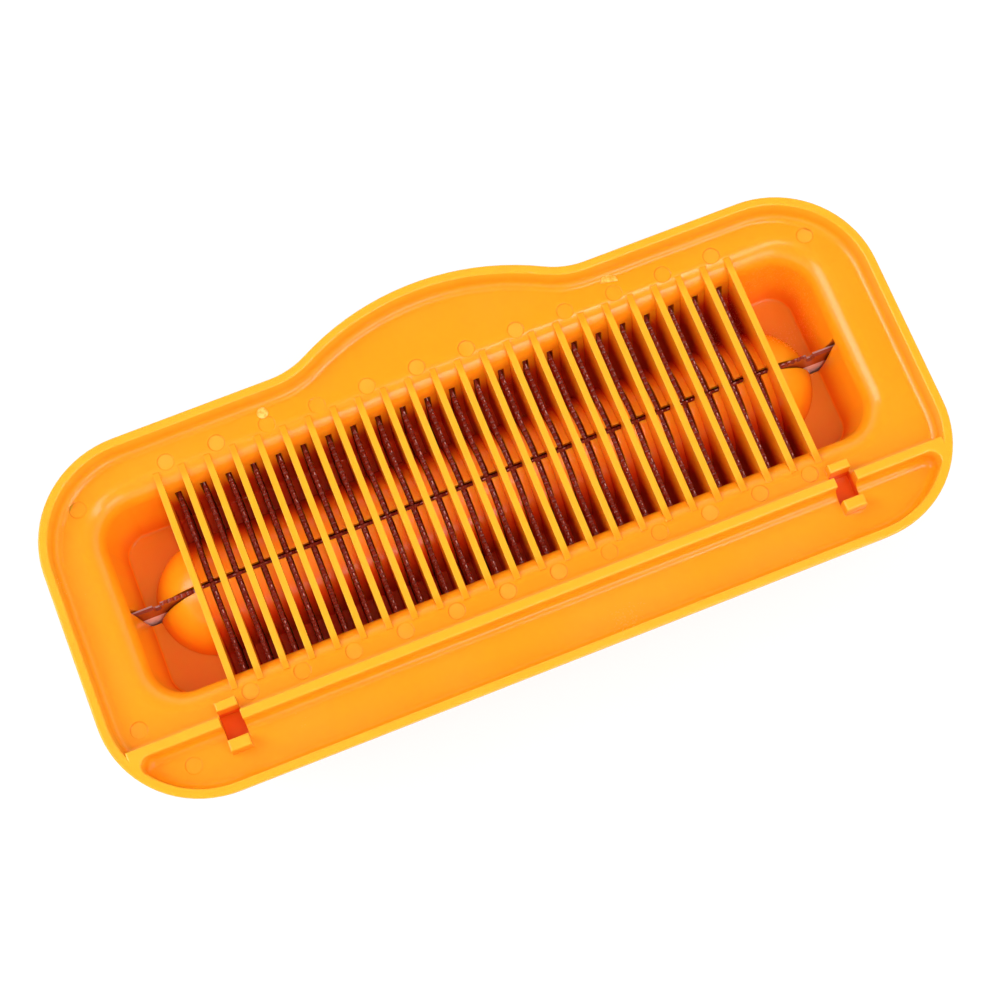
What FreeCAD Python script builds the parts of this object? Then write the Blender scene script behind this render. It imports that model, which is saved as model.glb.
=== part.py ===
import FreeCAD, Part
import math
import os

import Sketcher
from FreeCAD import Placement, Rotation, Vector

# Hinged sausage slicer, closed and lying on its lid, with the underside of the slotted tray up.
# X runs along the sausage, +Y points to the thumb tab and -Y to the hinge.
# Each body is drawn from the upper face of the tray's flange (Z = 0 there, Y = 0 on the bed's axis)
# and is then lifted by lid_depth, so that the lid's outer face lies at Z = 0.

SIZES = [
    # Cutting grid
    ("slice_pitch", 6.0, "distance from one cross blade to the next"),
    ("blade_count", 23, "number of cross blades"),
    ("blade_thickness", 1.1, "thickness of every blade"),
    ("edge_thickness", 0.7, "thickness left at the cutting edge"),
    ("edge_bevel", 0.8, "height of the bevel behind the cutting edge"),
    ("edge_sink", 1.2, "cutting edge below the bed's crest, closed"),
    ("tooth_pitch", 1.5, "distance from one scallop to the next"),
    ("scallop_radius", 0.45, "radius of a scallop in the cutting edge"),
    ("plain_end", 3.6, "length of straight edge at each end of a blade"),
    ("end_length", 7.5, "plain part at each end of the long blade"),
    ("end_drop", 1.1, "that part's edge below the cutting edge"),
    ("end_notch", 1.9, "notch between that part and the cutting edge"),
    ("groove_depth", 1.0, "how far a blade sits in the carrier"),
    ("lap_clearance", 0.05, "gap between parts that are fitted together"),
    ("slot_clearance", 0.15, "gap on each side of a blade in the tray's slots"),
    ("swing_clearance", 0.75, "gap on each side of the long blade low in its slot"),
    # Bed and trough
    ("bed_radius", 14.0, "outside of the half-round bed"),
    ("bed_wall", 2.0, "wall of the half-round bed"),
    ("crest_depth", 7.0, "flange to the bed's crest"),
    ("dome_start", 0.3, "last cross blade to the centre of each end dome"),
    ("axis_rise", 0.4, "bed axis above the lower face of the trough's floor"),
    ("trough_end_gap", 5.35, "end dome to the trough's end wall at the flange"),
    ("trough_side_gap", 8.95, "bed to the trough's side wall at the flange"),
    ("trough_corner", 8.6, "corners of the trough at the flange"),
    ("trough_draft", 9.2, "slope of the trough's walls, degrees"),
    ("trough_wall", 2.0, "walls of the trough"),
    ("trough_floor", 2.0, "floor of the trough"),
    ("mouth_radius", 5.5, "rounding of the trough's mouth"),
    ("mouth_under", 3.0, "fillet under the flange round the trough"),
    ("floor_radius", 0.8, "fillet round the trough's floor"),
    ("rib_thickness", 1.5, "ribs between the slots"),
    ("rib_run", 3.25, "how far a rib runs over the trough's mouth"),
    ("slot_over", 1.5, "closed end of a cross slot above the crest"),
    ("notch_over", 2.1, "top of the notches in the ribs above the crest"),
    # Flange and rim
    ("flange_end", 13.45, "trough to each end of the tray"),
    ("flange_front", 12.95, "trough to the straight front edge"),
    ("flange_thickness", 2.0, "flange of the tray"),
    ("corner_radius", 24.0, "corners of the tray's outline"),
    ("tab_rise", 9.5, "crown of the thumb tab beyond the front edge"),
    ("tab_radius", 61.3, "radius of the thumb tab's crown"),
    ("tab_blend", 19.0, "radius between the tab and the front edge"),
    ("rim_width", 2.1, "top of the rim"),
    ("rim_height", 5.0, "rim above the flange"),
    ("skirt_draft", 9.5, "flare of the rim, degrees"),
    ("rim_round", 0.4, "rounded upper edges of the rim and the lugs"),
    ("foot_radius", 2.0, "fillet at the foot of the rim"),
    ("wall_end_radius", 2.2, "corners where the hinge wall meets the rim"),
    ("mark_radius", 1.9, "ejector pin marks on the flange"),
    ("mark_depth", 0.25, "depth of the ejector pin marks"),
    ("mark_gap", 4.95, "trough to each row of ejector pin marks"),
    ("corner_mark_inset", 11.3, "marks in the front corners, in from the end and the front edge"),
    ("end_mark_inset", 7.8, "mark at one end of the hinge wall, in from the end"),
    ("end_mark_gap", 4.6, "the same mark in front of the hinge wall"),
    ("ledge_mark_inset", 16.3, "mark on the hinge ledge, in from the end"),
    ("ledge_mark_back", 9.7, "the same mark in from the back edge"),
    # Hinge
    ("wall_gap", 8.75, "trough to the front of the hinge wall"),
    ("wall_thickness", 2.3, "hinge wall"),
    ("hinge_behind", 2.0, "hinge axis behind the front of the hinge wall"),
    ("hinge_rise", 6.5, "hinge axis above the bed axis"),
    ("hinge_offset", 2.75, "last rib to the middle of each hinge"),
    ("ledge_depth", 14.7, "hinge axis to the back edge of the tray"),
    ("pin_diameter", 3.0, "hinge pins"),
    ("pin_clearance", 0.05, "running gap round a pin in the tray's knuckles"),
    ("knuckle_radius", 3.5, "rounding of the knuckles about the pin"),
    ("knuckle_width", 6.4, "width of each knuckle on the tray"),
    ("knuckle_wall", 1.0, "wall in front of and behind the hollow"),
    ("cheek_thickness", 2.5, "each hinge cheek on the lid"),
    ("side_clearance", 0.3, "gap between a knuckle and each cheek"),
    ("pocket_width", 4.8, "hollow in the top of each knuckle, along X"),
    ("pocket_reach", 3.3, "hinge axis to the front and to the back of the hollow"),
    ("pocket_depth", 3.2, "flange to the bottom of the hollow"),
    ("lug_height", 4.0, "lugs at both ends of the hollow"),
    ("lug_front", 2.1, "length of the front lug"),
    ("lug_back", 2.6, "length of the back lug"),
    # Lid
    ("lid_gap", 0.4, "gap between the tray's flange and the lid's lip"),
    ("lid_room", 2.35, "outside of the trough to the inside of the lid, at the flange"),
    ("lid_corner", 14.5, "corners of the lid"),
    ("lid_wall", 2.0, "walls of the lid"),
    ("lid_floor", 2.0, "outer face of the lid"),
    ("lid_draft", 1.5, "slope of the lid's walls, degrees"),
    ("lid_edge_radius", 6.0, "rounding round the lid's outer face"),
    ("lip_inset", 3.6, "lip inside the tray's outline"),
    ("lip_thickness", 2.0, "lip of the lid"),
    ("lip_radius", 0.7, "rounding of the lip's edge"),
    ("relief_run", 7.3, "lid's back wall to where its edge steps up"),
    ("relief_rise", 7.5, "lid's low back edge above the hinge axis"),
    # Blade carrier
    ("slice_room", 1.0, "sausage channel to the carrier's plate"),
    ("carrier_clearance", 0.3, "gap between the carrier and the lid's walls"),
    ("carrier_floor", 2.0, "plate that the blades stand in"),
    ("carrier_rail", 1.9, "rail round the plate"),
    ("rail_gap", 0.8, "lower face of the trough's floor to the rail"),
]

# Lengths that follow from the sizes above, measured from the middle, the bed axis or the flange.
LENGTHS = [
    ("bed_half_straight", "slice_pitch * (blade_count - 1) / 2 + dome_start"),
    ("bed_axis_depth", "crest_depth + bed_radius"),
    ("trough_half_length", "bed_half_straight + bed_radius + trough_end_gap"),
    ("trough_half_width", "bed_radius + trough_side_gap"),
    ("trough_depth", "bed_axis_depth + axis_rise - trough_floor"),
    ("rib_half_reach", "trough_half_width + rib_run"),
    ("slot_top_depth", "crest_depth - slot_over"),
    ("notch_top_depth", "crest_depth - notch_over"),
    ("blade_edge_depth", "crest_depth + edge_sink"),
    ("wall_front", "trough_half_width + wall_gap"),
    ("hinge_back", "wall_front + hinge_behind"),
    ("hinge_depth", "bed_axis_depth - hinge_rise"),
    ("hinge_half_spacing", "slice_pitch * blade_count / 2 + hinge_offset"),
    ("pocket_front", "hinge_back - pocket_reach"),
    ("pocket_back", "hinge_back + pocket_reach"),
    ("tray_half_length", "trough_half_length + flange_end"),
    ("tray_front", "trough_half_width + flange_front"),
    ("tray_back", "hinge_back + ledge_depth"),
    ("tab_reach", "tray_front + tab_rise"),
    ("mark_reach", "trough_half_width + mark_gap"),
    ("lid_half_length", "trough_half_length + trough_wall + lid_room + lid_wall"),
    ("lid_half_width", "trough_half_width + trough_wall + lid_room + lid_wall"),
    ("lid_depth", "bed_axis_depth + bed_radius - bed_wall + slice_room + carrier_floor + lid_floor"),
    ("relief_back", "lid_half_width - relief_run"),
    ("relief_depth", "hinge_depth - relief_rise"),
    ("rail_top_depth", "trough_depth + trough_floor + rail_gap"),
]

doc = FreeCAD.newDocument("SausageSlicer")
sheet = doc.addObject("Spreadsheet::Sheet", "Sizes")
for row, (alias, number, meaning) in enumerate(SIZES, start=1):
    sheet.set("A%d" % row, meaning)
    sheet.set("B%d" % row, str(number))
    sheet.setAlias("B%d" % row, alias)
for row, (alias, formula) in enumerate(LENGTHS, start=len(SIZES) + 1):
    sheet.set("B%d" % row, "=" + formula)
    sheet.setAlias("B%d" % row, alias)
doc.recompute()


def expand(formula):
    """Write a formula of size names in angle brackets as an expression on the sheet."""
    return formula.replace("<", "Sizes.").replace(">", "")


def number_of(formula):
    """Value of a formula of size names."""
    return float(sheet.evalExpression(expand(formula)))


def bind(item, prop, formula):
    """Tie a property to a formula of size names."""
    item.setExpression(prop, expand(formula))


def new_body(label):
    """A body lifted so that the lid's outer face is at Z = 0."""
    body = doc.addObject("PartDesign::Body", label)
    body.Label = label
    bind(body, "Placement.Base.z", "<lid_depth>")
    return body


def origin_part(body, role):
    """The body's own axis or plane with this role."""
    return next(part for part in body.Origin.OriginFeatures if part.Role == role)


def new_sketch(body, name, role, offset="0", rise="0"):
    """A sketch on one of the body's planes, moved along its normal and along its second axis."""
    sketch = body.newObject("Sketcher::SketchObject", name)
    sketch.AttachmentSupport = [(origin_part(body, role), "")]
    sketch.MapMode = "FlatFace"
    bind(sketch, "AttachmentOffset.Base.z", offset)
    bind(sketch, "AttachmentOffset.Base.y", rise)
    return sketch


def dimension(sketch, kind, geometry, formula):
    """A driving dimension whose value follows a formula."""
    index = sketch.addConstraint(Sketcher.Constraint(kind, *geometry, number_of(formula)))
    sketch.setExpression("Constraints[%d]" % index, expand(formula))


def place_point(sketch, curve, point, x, y):
    """Hold a point of a curve at formulas measured from the sketch's origin."""
    dimension(sketch, "DistanceX", (-1, 1, curve, point), x)
    dimension(sketch, "DistanceY", (-1, 1, curve, point), y)


def draw_polygon(sketch, points):
    """A closed outline of straight lines through points given as formulas."""
    corners = [Vector(number_of(x), number_of(y), 0) for x, y in points]
    lines = []
    for start, end in zip(corners, corners[1:] + corners[:1]):
        lines.append(sketch.addGeometry(Part.LineSegment(start, end), False))
    for line, following in zip(lines, lines[1:] + lines[:1]):
        sketch.addConstraint(Sketcher.Constraint("Coincident", line, 2, following, 1))
    for line, (x, y) in zip(lines, points):
        place_point(sketch, line, 1, x, y)


def draw_circle(sketch, x, y, radius):
    """A circle with its centre and radius given as formulas."""
    centre = Vector(number_of(x), number_of(y), 0)
    circle = Part.Circle(centre, Vector(0, 0, 1), number_of(radius))
    index = sketch.addGeometry(circle, False)
    dimension(sketch, "Radius", (index,), radius)
    place_point(sketch, index, 3, x, y)


def arc(centre, radius, start_degrees, end_degrees):
    """A counter-clockwise arc about +Z."""
    circle = Part.Circle(centre, Vector(0, 0, 1), radius)
    return Part.ArcOfCircle(circle, math.radians(start_degrees), math.radians(end_degrees))


def draw_rounded(sketch, half_length, front, back, corner):
    """A rounded rectangle, even about the sketch's second axis."""
    x = number_of(half_length)
    top = number_of(front)
    bottom = -number_of(back)
    r = number_of(corner)
    geometry = [
        Part.LineSegment(Vector(r - x, bottom, 0), Vector(x - r, bottom, 0)),
        arc(Vector(x - r, bottom + r, 0), r, 270, 360),
        Part.LineSegment(Vector(x, bottom + r, 0), Vector(x, top - r, 0)),
        arc(Vector(x - r, top - r, 0), r, 0, 90),
        Part.LineSegment(Vector(x - r, top, 0), Vector(r - x, top, 0)),
        arc(Vector(r - x, top - r, 0), r, 90, 180),
        Part.LineSegment(Vector(-x, top - r, 0), Vector(-x, bottom + r, 0)),
        arc(Vector(r - x, bottom + r, 0), r, 180, 270),
    ]
    ids = [sketch.addGeometry(curve, False) for curve in geometry]
    for curve, following in zip(ids, ids[1:] + ids[:1]):
        sketch.addConstraint(Sketcher.Constraint("Tangent", curve, 2, following, 1))
    for line, direction in zip(ids[0::2], ("Horizontal", "Vertical", "Horizontal", "Vertical")):
        sketch.addConstraint(Sketcher.Constraint(direction, line))
    for curve in ids[3::2]:
        sketch.addConstraint(Sketcher.Constraint("Equal", ids[1], curve))
    dimension(sketch, "Radius", (ids[1],), corner)
    dimension(sketch, "DistanceX", (-1, 1, ids[2], 1), half_length)
    dimension(sketch, "DistanceX", (ids[6], 1, -1, 1), half_length)
    dimension(sketch, "DistanceY", (-1, 1, ids[4], 1), front)
    dimension(sketch, "DistanceY", (ids[0], 1, -1, 1), back)


def draw_tabbed(sketch, inset):
    """The tray's outline with its thumb tab, moved in by an inset."""
    half_length = "<tray_half_length> - (%s)" % inset
    front = "<tray_front> - (%s)" % inset
    back = "<tray_back> - (%s)" % inset
    corner = "<corner_radius> - (%s)" % inset
    tab = "<tab_radius> - (%s)" % inset
    blend = "<tab_blend> + (%s)" % inset
    tab_centre = "<tab_radius> - <tab_reach>"
    x = number_of(half_length)
    top = number_of(front)
    bottom = -number_of(back)
    r = number_of(corner)
    tab_r = number_of(tab)
    blend_r = number_of(blend)
    low = -number_of(tab_centre)
    side = math.sqrt((tab_r + blend_r) ** 2 - (top + blend_r - low) ** 2)
    lean = math.degrees(math.atan2(top + blend_r - low, side))
    geometry = [
        Part.LineSegment(Vector(r - x, bottom, 0), Vector(x - r, bottom, 0)),
        arc(Vector(x - r, bottom + r, 0), r, 270, 360),
        Part.LineSegment(Vector(x, bottom + r, 0), Vector(x, top - r, 0)),
        arc(Vector(x - r, top - r, 0), r, 0, 90),
        Part.LineSegment(Vector(x - r, top, 0), Vector(side, top, 0)),
        arc(Vector(side, top + blend_r, 0), blend_r, 180 + lean, 270),
        arc(Vector(0, low, 0), tab_r, lean, 180 - lean),
        arc(Vector(-side, top + blend_r, 0), blend_r, 270, 360 - lean),
        Part.LineSegment(Vector(-side, top, 0), Vector(r - x, top, 0)),
        arc(Vector(r - x, top - r, 0), r, 90, 180),
        Part.LineSegment(Vector(-x, top - r, 0), Vector(-x, bottom + r, 0)),
        arc(Vector(r - x, bottom + r, 0), r, 180, 270),
    ]
    ids = [sketch.addGeometry(curve, False) for curve in geometry]
    # The two blends turn the other way, so they are passed from end to start.
    ends = [(curve, 1, 2) for curve in ids]
    ends[5] = (ids[5], 2, 1)
    ends[7] = (ids[7], 2, 1)
    for (curve, _, last), (following, first, _) in zip(ends, ends[1:] + ends[:1]):
        sketch.addConstraint(Sketcher.Constraint("Tangent", curve, last, following, first))
    for line in (ids[0], ids[4], ids[8]):
        sketch.addConstraint(Sketcher.Constraint("Horizontal", line))
    for line in (ids[2], ids[10]):
        sketch.addConstraint(Sketcher.Constraint("Vertical", line))
    for curve in (ids[3], ids[9], ids[11]):
        sketch.addConstraint(Sketcher.Constraint("Equal", ids[1], curve))
    sketch.addConstraint(Sketcher.Constraint("Equal", ids[5], ids[7]))
    sketch.addConstraint(Sketcher.Constraint("PointOnObject", ids[6], 3, -2))
    dimension(sketch, "Radius", (ids[1],), corner)
    dimension(sketch, "Radius", (ids[5],), blend)
    dimension(sketch, "Radius", (ids[6],), tab)
    dimension(sketch, "DistanceY", (ids[6], 3, -1, 1), tab_centre)
    dimension(sketch, "DistanceX", (-1, 1, ids[2], 1), half_length)
    dimension(sketch, "DistanceX", (ids[10], 1, -1, 1), half_length)
    dimension(sketch, "DistanceY", (-1, 1, ids[4], 1), front)
    dimension(sketch, "DistanceY", (-1, 1, ids[8], 1), front)
    dimension(sketch, "DistanceY", (ids[0], 1, -1, 1), back)


def draw_half_capsule(sketch, half_straight, radius):
    """Half of a lengthwise section through a round bar with domed ends, on the first axis."""
    x = number_of(half_straight)
    r = number_of(radius)
    geometry = [
        Part.LineSegment(Vector(-x - r, 0, 0), Vector(x + r, 0, 0)),
        arc(Vector(x, 0, 0), r, 0, 90),
        Part.LineSegment(Vector(x, r, 0), Vector(-x, r, 0)),
        arc(Vector(-x, 0, 0), r, 90, 180),
    ]
    ids = [sketch.addGeometry(curve, False) for curve in geometry]
    sketch.addConstraint(Sketcher.Constraint("Coincident", ids[0], 2, ids[1], 1))
    sketch.addConstraint(Sketcher.Constraint("Tangent", ids[1], 2, ids[2], 1))
    sketch.addConstraint(Sketcher.Constraint("Tangent", ids[2], 2, ids[3], 1))
    sketch.addConstraint(Sketcher.Constraint("Coincident", ids[3], 2, ids[0], 1))
    sketch.addConstraint(Sketcher.Constraint("PointOnObject", ids[0], 1, -1))
    sketch.addConstraint(Sketcher.Constraint("PointOnObject", ids[0], 2, -1))
    sketch.addConstraint(Sketcher.Constraint("PointOnObject", ids[1], 3, -1))
    sketch.addConstraint(Sketcher.Constraint("PointOnObject", ids[3], 3, -1))
    dimension(sketch, "Radius", (ids[1],), radius)
    dimension(sketch, "DistanceX", (-1, 1, ids[1], 3), half_straight)
    dimension(sketch, "DistanceX", (ids[3], 3, -1, 1), half_straight)


def extrude(body, kind, name, sketch, length, reverse=False, both=False, taper=None):
    """Pad or pocket a sketch and check that it changed the body's volume."""
    before = body.Shape.Volume if body.Tip is not None else 0.0
    feature = body.newObject("PartDesign::" + kind, name)
    feature.Profile = sketch
    feature.Reversed = reverse
    if both:
        feature.SideType = "Symmetric"
    bind(feature, "Length", length)
    if taper is not None:
        bind(feature, "TaperAngle", taper)
    doc.recompute()
    change = body.Shape.Volume - before
    if (kind == "Pad") != (change > 0) or abs(change) < 1e-6:
        raise RuntimeError("%s changed the volume by %.6f" % (name, change))
    return feature


def pad(body, name, sketch, length, **options):
    """Add material."""
    return extrude(body, "Pad", name, sketch, length, **options)


def pocket(body, name, sketch, length, **options):
    """Take material away."""
    return extrude(body, "Pocket", name, sketch, length, **options)


def revolve(body, kind, name, sketch, degrees):
    """Turn a sketch about its first axis, evenly to both sides of its plane."""
    feature = body.newObject("PartDesign::" + kind, name)
    feature.Profile = sketch
    feature.ReferenceAxis = (sketch, ["H_Axis"])
    feature.Midplane = True
    feature.Angle = degrees
    doc.recompute()
    return feature


def repeat(body, name, feature, role, spacing, count):
    """Repeat a feature along one of the body's axes."""
    pattern = body.newObject("PartDesign::LinearPattern", name)
    pattern.Originals = [feature]
    pattern.Direction = (origin_part(body, role), [""])
    pattern.Mode = "Spacing"
    bind(pattern, "Offset", spacing)
    bind(pattern, "Occurrences", count)
    body.Tip = pattern
    doc.recompute()
    return pattern


def round_edges(body, name, radius, wanted):
    """Fillet the edges of the body that a test picks."""
    base = body.Tip
    names = []
    for index, edge in enumerate(base.Shape.Edges, start=1):
        if wanted(edge.BoundBox):
            names.append("Edge%d" % index)
    feature = body.newObject("PartDesign::Fillet", name)
    feature.Base = (base, names)
    bind(feature, "Radius", radius)
    doc.recompute()
    return feature


def lies_at(box, level):
    """Whether an edge lies flat at a height."""
    return abs(box.ZMin - level) < 1e-4 and abs(box.ZMax - level) < 1e-4


def inside(box, half_length, half_width):
    """Whether an edge lies within a rectangle about the origin."""
    return max(abs(box.XMin), abs(box.XMax)) < half_length and max(abs(box.YMin), abs(box.YMax)) < half_width


HINGE_SIDES = (("left", "-<hinge_half_spacing>"), ("right", "<hinge_half_spacing>"))
FIRST_BLADE = "-<slice_pitch> * (<blade_count> - 1) / 2"
SLOT_WIDTH = "(<blade_thickness> + 2 * <slot_clearance>)"
PLATFORM_DEPTH = "(<trough_depth> + <trough_floor>)"
CHANNEL_RADIUS = "(<bed_radius> - <bed_wall>)"
CARRIER_TOP = "(<lid_depth> - <lid_floor> - <carrier_floor>)"
ROOT_DEPTH = "(%s + <groove_depth>)" % CARRIER_TOP
LID_NARROWING = "((<lid_depth> - <lid_floor>) * tan(<lid_draft>))"
CARRIER_HALF_LENGTH = "(<lid_half_length> - <lid_wall> - %s - <carrier_clearance>)" % LID_NARROWING
CARRIER_HALF_WIDTH = "(<lid_half_width> - <lid_wall> - %s - <carrier_clearance>)" % LID_NARROWING
CARRIER_CORNER = "(<lid_corner> - <lid_wall> - %s - <carrier_clearance>)" % LID_NARROWING
SEAT = "(<carrier_rail> - <groove_depth> + <lap_clearance>)"
CROSS_HALF_SPAN = "(%s - %s)" % (CARRIER_HALF_WIDTH, SEAT)
LONG_HALF_SPAN = "(%s - %s)" % (CARRIER_HALF_LENGTH, SEAT)
LAP_DEPTH = "((<blade_edge_depth> + %s) / 2)" % ROOT_DEPTH
LAP_HALF = "(<blade_thickness> / 2 + <lap_clearance>)"


def rectangle(x_low, x_high, y_low, y_high):
    """Corners of a rectangle given by formulas."""
    return [(x_low, y_low), (x_high, y_low), (x_high, y_high), (x_low, y_high)]


def build_base_tray():
    """The slotted tray: rim, flange, trough, half-round bed, ribs, slots and hinge knuckles."""
    body = new_body("base_tray")
    add_tray_shell(body)
    add_tray_hinges(body)
    mark_ejector_pins(body)
    add_bed_and_ribs(body)
    cut_slots(body)
    return body


def add_tray_shell(body):
    """Flared rim and flange with a sunken trough and a wall before the hinge ledge."""
    outline = new_sketch(body, "tray_outline", "XY_Plane", "<rim_height>")
    draw_tabbed(outline, "0")
    pad(body, "tray_block", outline, "<rim_height> + <flange_thickness>", reverse=True,
        taper="-<skirt_draft>")
    hollow = new_sketch(body, "rim_inside", "XY_Plane", "<rim_height>")
    draw_tabbed(hollow, "<rim_width>")
    pocket(body, "rim_hollow", hollow, "<rim_height>", taper="-<skirt_draft>")

    wall_middle = "(<wall_front> + <wall_thickness> / 2)"
    corner_centre = "(<tray_back> - <corner_radius>)"
    reach = ("<tray_half_length> - <corner_radius> + sqrt((<corner_radius> - <rim_width>)^2"
             " - (%s - %s)^2)" % (wall_middle, corner_centre))
    wall = new_sketch(body, "hinge_wall_plan", "XY_Plane")
    draw_polygon(wall, rectangle("-(%s)" % reach, reach, "-<wall_front> - <wall_thickness>", "-<wall_front>"))
    pad(body, "hinge_wall", wall, "<rim_height>")

    platform = new_sketch(body, "platform_outline", "XY_Plane")
    half_width = "<trough_half_width> + <trough_wall>"
    draw_rounded(platform, "<trough_half_length> + <trough_wall>", half_width, half_width,
                 "<trough_corner> + <trough_wall>")
    pad(body, "platform", platform, PLATFORM_DEPTH, reverse=True, taper="-<trough_draft>")
    under = -number_of("<flange_thickness>")
    length = number_of("<trough_half_length> + <trough_wall>")
    width = number_of("<trough_half_width> + <trough_wall>")
    round_edges(body, "platform_root", "<mouth_under>",
                lambda box: lies_at(box, under) and inside(box, length, width))
    top = number_of("<rim_height>")
    back = -number_of("<wall_front> + <wall_thickness>") - 1.0
    front = -number_of("<wall_front>") + 1.0
    round_edges(body, "wall_ends", "<wall_end_radius>",
                lambda box: box.ZLength > top - 0.01 and box.ZMin > -0.01 and box.YMin > back and box.YMax < front)
    round_edges(body, "rim_foot", "<foot_radius>", lambda box: lies_at(box, 0.0))
    round_edges(body, "rim_edge", "<rim_round>", lambda box: lies_at(box, top))

    trough = new_sketch(body, "trough_outline", "XY_Plane")
    draw_rounded(trough, "<trough_half_length>", "<trough_half_width>", "<trough_half_width>", "<trough_corner>")
    pocket(body, "trough", trough, "<trough_depth>", taper="-<trough_draft>")
    floor_level = -number_of("<trough_depth>")
    round_edges(body, "trough_foot", "<floor_radius>", lambda box: lies_at(box, floor_level))
    length = number_of("<trough_half_length>") + 0.1
    width = number_of("<trough_half_width>") + 0.1
    round_edges(body, "trough_mouth", "<mouth_radius>",
                lambda box: lies_at(box, 0.0) and inside(box, length, width))


def add_bed_and_ribs(body):
    """The convex back of the bed, the ribs over it and the sausage channel beneath."""
    bed = new_sketch(body, "bed_section", "XZ_Plane", rise="-<bed_axis_depth>")
    draw_half_capsule(bed, "<bed_half_straight>", "<bed_radius>")
    revolve(body, "Revolution", "bed", bed, 180)

    first_rib = "-<slice_pitch> * <blade_count> / 2"
    seat = "<flange_thickness> / 2"
    foot = "(<trough_depth> + <trough_floor> / 2)"
    top_end = "<rib_half_reach>"
    wall_top = "(<trough_half_width> + <trough_wall> / 2 - %s * tan(<trough_draft>))" % seat
    wall_foot = "(<trough_half_width> + <trough_wall> / 2 - %s * tan(<trough_draft>))" % foot
    corners = [(top_end, "0"), (top_end, "-" + seat), (wall_top, "-" + seat), (wall_foot, "-" + foot)]
    mirrored = [("-" + y, z) for y, z in reversed(corners)]
    rib = new_sketch(body, "rib_section", "YZ_Plane", first_rib)
    draw_polygon(rib, corners + mirrored)
    first = pad(body, "rib", rib, "<rib_thickness>", both=True)
    repeat(body, "ribs", first, "X_Axis", "<slice_pitch>", "<blade_count> + 1")

    channel = new_sketch(body, "channel_section", "XZ_Plane", rise="-<bed_axis_depth>")
    draw_half_capsule(channel, "<bed_half_straight>", CHANNEL_RADIUS)
    revolve(body, "Groove", "channel", channel, 360)


def cut_slots(body):
    """One slot for each cross blade and one long slot, which widens where the long blade swings."""
    outer = "(<trough_half_width> + 2 * <trough_wall> + <mouth_radius>)"
    slot = new_sketch(body, "cross_slot_plan", "XY_Plane", "-<slot_top_depth>")
    draw_polygon(slot, rectangle("%s - %s / 2" % (FIRST_BLADE, SLOT_WIDTH), "%s + %s / 2" % (FIRST_BLADE, SLOT_WIDTH),
                                 "-" + outer, outer))
    first = pocket(body, "cross_slot", slot, "%s - <slot_top_depth> + 1" % PLATFORM_DEPTH)
    repeat(body, "cross_slots", first, "X_Axis", "<slice_pitch>", "<blade_count>")

    narrow = "(%s / 2)" % SLOT_WIDTH
    wide = "(<blade_thickness> / 2 + <swing_clearance>)"
    crest = "-<crest_depth>"
    below = "-(%s + 1)" % PLATFORM_DEPTH
    section = new_sketch(body, "long_slot_section", "YZ_Plane")
    draw_polygon(section, [
        ("-" + narrow, "-<notch_top_depth>"), ("-" + narrow, crest), ("-" + wide, "-<hinge_depth>"), ("-" + wide, below),
        (wide, below), (wide, "-<hinge_depth>"), (narrow, crest), (narrow, "-<notch_top_depth>"),
    ])
    pocket(body, "long_slot", section, "2 * (<trough_half_length> + 2 * <trough_wall>)", both=True)


def add_tray_hinges(body):
    """Two knuckles under the hinge wall, each hollowed from above between two lugs."""
    axis_y = "-<hinge_back>"
    axis_z = "-<hinge_depth>"
    bore_radius = "<pin_diameter> / 2 + <pin_clearance>"
    front = "-(<pocket_front> - <knuckle_wall>)"
    back = "-(<pocket_back> + <knuckle_wall>)"
    for side, x in HINGE_SIDES:
        post = new_sketch(body, "knuckle_post_" + side, "YZ_Plane", x)
        draw_polygon(post, [
            (back, "-<flange_thickness> / 2"), ("%s - <knuckle_radius>" % axis_y, axis_z),
            ("%s + <knuckle_radius>" % axis_y, axis_z), (front, "-<flange_thickness> / 2"),
        ])
        pad(body, "knuckle_%s" % side, post, "<knuckle_width>", both=True)
        end = new_sketch(body, "knuckle_end_" + side, "YZ_Plane", x)
        draw_circle(end, axis_y, axis_z, "<knuckle_radius>")
        pad(body, "knuckle_round_" + side, end, "<knuckle_width>", both=True)
        bore = new_sketch(body, "knuckle_bore_" + side, "YZ_Plane", x)
        draw_circle(bore, axis_y, axis_z, bore_radius)
        pocket(body, "knuckle_hole_" + side, bore, "2 * <knuckle_width>", both=True)

        low_x = "%s - <pocket_width> / 2" % x
        high_x = "%s + <pocket_width> / 2" % x
        lugs = new_sketch(body, "lug_plan_" + side, "XY_Plane")
        draw_polygon(lugs, rectangle(low_x, high_x, "-<pocket_front>", "-<pocket_front> + <lug_front>"))
        draw_polygon(lugs, rectangle(low_x, high_x, "-<pocket_back> - <lug_back>", "-<pocket_back>"))
        pad(body, "lugs_" + side, lugs, "<lug_height>")
        hollow = new_sketch(body, "hinge_hollow_plan_" + side, "XY_Plane", "<rim_height>")
        draw_polygon(hollow, rectangle(low_x, high_x, "-<pocket_back>", "-<pocket_front>"))
        pocket(body, "hinge_hollow_" + side, hollow, "<rim_height> + <pocket_depth>")
        lug_top = number_of("<lug_height>")
        side_sign = math.copysign(1.0, number_of(x))
        round_edges(body, "lug_edge_" + side, "<rim_round>",
                    lambda box: lies_at(box, lug_top) and box.XMin * side_sign > 0.0)


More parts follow.
